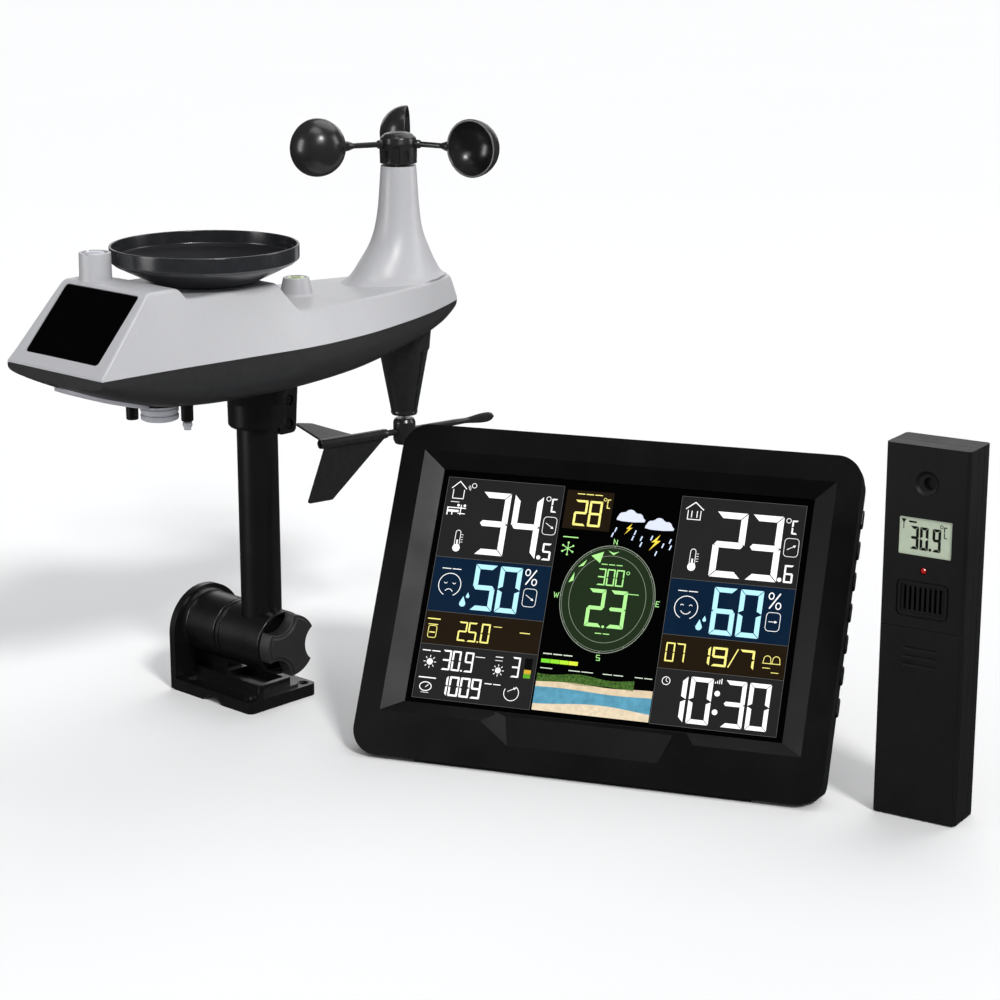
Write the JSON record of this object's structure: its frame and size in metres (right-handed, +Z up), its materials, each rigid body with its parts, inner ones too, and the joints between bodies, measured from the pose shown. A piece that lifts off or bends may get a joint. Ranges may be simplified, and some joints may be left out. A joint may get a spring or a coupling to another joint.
{
  "type": "home weather station",
  "caption": "Home weather station: pole-mounted array with cup anemometer, wind vane, rain funnel and solar panel, a colour display console on a folding stand, and a remote thermometer.",
  "frame": {"origin": "on the pole's axis at the underside of the bracket's foot", "axes": "+Z up; -Y towards the side that the display and the remote face; +X to the right seen from there. The array points 47.14 degrees left of -Y, the console is turned 18.62 degrees and the remote 32.54 degrees clockwise seen from above"},
  "size_m": [0.5414, 0.3784, 0.3534],
  "materials": {
    "white_shell": "glossy cool white",
    "pale_cover": "satin light grey",
    "charcoal_hull": "satin charcoal",
    "bracket_black": "satin black",
    "gloss_black": "glossy black",
    "funnel_black": "glossy outside, matt inside the cone",
    "solar_glass": "smooth near-black",
    "level_green": "clear yellow-green",
    "clear_lens": "pale translucent",
    "case_black": "fine matte texture",
    "key_black": "smooth matte",
    "screen_glass": "polished",
    "remote_case": "fine matte texture",
    "remote_glass": "grey-green display",
    "led_red": "clear red",
    "steel": "plated",
    "board_green": "solder mask",
    "cell_jacket": "plain sleeve",
    "rubber": "matt"
  },
  "bodies": {
    "bracket": {"base_bracket": "bracket_black", "elbow_bolt": "steel"},
    "knob": {"clamp_knob": "gloss_black"},
    "sensor_head": {"pole_elbow": "bracket_black", "mast_pole": "bracket_black", "pole_collar": "bracket_black", "collar_screw_1": "steel", "collar_screw_2": "steel", "lower_hull": "charcoal_hull", "upper_shell": "white_shell", "solar_panel": "solar_glass", "light_diffuser": "clear_lens", "bubble_vial": "level_green", "bucket_frame": "case_black", "vane_housing": "gloss_black", "sensor_cap": "clear_lens", "sensor_cage": "bracket_black", "drain_nozzle": "clear_lens", "outdoor_board": "board_green", "outdoor_battery_1": "cell_jacket", "outdoor_battery_2": "cell_jacket"},
    "funnel": {"rain_funnel": "funnel_black", "debris_screen": "funnel_black"},
    "bucket": {"tipping_bucket": "clear_lens"},
    "rotor": {"rotor_shaft": "steel", "rotor_hub": "gloss_black", "wind_cup_1": "gloss_black", "wind_cup_2": "gloss_black", "wind_cup_3": "gloss_black"},
    "vane": {"vane_shaft": "steel", "vane_hub": "gloss_black", "vane_rod": "gloss_black", "vane_tail": "gloss_black"},
    "array_battery_cover": {"battery_cover": "pale_cover"},
    "console": {"console_bezel": "case_black", "console_rear_cover": "case_black", "display_glass": "screen_glass", "lcd_panel": "screen_glass", "stand_pin": "steel", "console_board": "board_green", "dc_inlet": "bracket_black", "console_foot": "rubber"},
    "key_1": {"side_key_1": "key_black"},
    "key_2": {"side_key_2": "key_black"},
    "key_3": {"side_key_3": "key_black"},
    "key_4": {"side_key_4": "key_black"},
    "key_5": {"side_key_5": "key_black"},
    "key_6": {"side_key_6": "key_black"},
    "key_7": {"side_key_7": "key_black"},
    "stand": {"stand_leg": "case_black"},
    "console_door": {"console_battery_door": "case_black"},
    "remote": {"remote_front_shell": "remote_case", "remote_rear_shell": "remote_case", "remote_lcd": "remote_glass", "remote_led": "led_red", "remote_battery_1": "cell_jacket", "remote_battery_2": "cell_jacket"},
    "remote_door": {"remote_battery_door": "remote_case"}
  },
  "joints": [
    {"name": "pole_tilt", "type": "hinge", "parent": "bracket", "child": "sensor_head", "pos_m": [0, 0, 0.04], "axis": [0.733, -0.6802, 0], "range_deg": [-30, 45]},
    {"name": "knob_turn", "type": "hinge", "parent": "bracket", "child": "knob", "pos_m": [0, 0, 0.04], "axis": [0.733, -0.6802, 0], "range_deg": [-180, 180]},
    {"name": "funnel_lift", "type": "slide", "parent": "sensor_head", "child": "funnel", "axis": [0, 0, 1], "range_m": [0, 0.05]},
    {"name": "bucket_rock", "type": "hinge", "parent": "sensor_head", "child": "bucket", "pos_m": [-0.02547, -0.02745, 0.243], "axis": [0.733, -0.6802, 0], "range_deg": [-26, 0]},
    {"name": "rotor_spin", "type": "hinge", "parent": "sensor_head", "child": "rotor", "pos_m": [0.08387, 0.09038, 0.3354], "axis": [0, 0, 1], "continuous": true},
    {"name": "vane_turn", "type": "hinge", "parent": "sensor_head", "child": "vane", "pos_m": [0.08591, 0.09258, 0.15], "axis": [0, 0, 1], "continuous": true},
    {"name": "battery_cover_off", "type": "slide", "parent": "sensor_head", "child": "array_battery_cover", "axis": [0, 0, -1], "range_m": [0, 0.012]},
    {"name": "console_lift", "type": "slide", "parent": "bracket", "child": "console", "axis": [0, 0, 1], "range_m": [0, 0.08]},
    {"name": "key_1_press", "type": "slide", "parent": "console", "child": "key_1", "axis": [-0.9477, 0.3193, 0], "range_m": [0, 0.0008], "stiffness_N_per_m": 400},
    {"name": "key_2_press", "type": "slide", "parent": "console", "child": "key_2", "axis": [-0.9477, 0.3193, 0], "range_m": [0, 0.0008], "stiffness_N_per_m": 400},
    {"name": "key_3_press", "type": "slide", "parent": "console", "child": "key_3", "axis": [-0.9477, 0.3193, 0], "range_m": [0, 0.0008], "stiffness_N_per_m": 400},
    {"name": "key_4_press", "type": "slide", "parent": "console", "child": "key_4", "axis": [-0.9477, 0.3193, 0], "range_m": [0, 0.0008], "stiffness_N_per_m": 400},
    {"name": "key_5_press", "type": "slide", "parent": "console", "child": "key_5", "axis": [-0.9477, 0.3193, 0], "range_m": [0, 0.0008], "stiffness_N_per_m": 400},
    {"name": "key_6_press", "type": "slide", "parent": "console", "child": "key_6", "axis": [-0.9477, 0.3193, 0], "range_m": [0, 0.0008], "stiffness_N_per_m": 400},
    {"name": "key_7_press", "type": "slide", "parent": "console", "child": "key_7", "axis": [-0.9477, 0.3193, 0], "range_m": [0, 0.0008], "stiffness_N_per_m": 400},
    {"name": "stand_fold", "type": "hinge", "parent": "console", "child": "stand", "pos_m": [0.22039, -0.06194, 0.08669], "axis": [0.9477, -0.3193, 0], "range_deg": [-50, 0]},
    {"name": "console_door_off", "type": "slide", "parent": "console", "child": "console_door", "axis": [0.2765, 0.8207, -0.5], "range_m": [0, 0.012]},
    {"name": "remote_lift", "type": "slide", "parent": "bracket", "child": "remote", "axis": [0, 0, 1], "range_m": [0, 0.08]},
    {"name": "remote_door_off", "type": "slide", "parent": "remote", "child": "remote_door", "axis": [-0.5379, -0.843, 0], "range_m": [0, 0.012]}
  ]
}
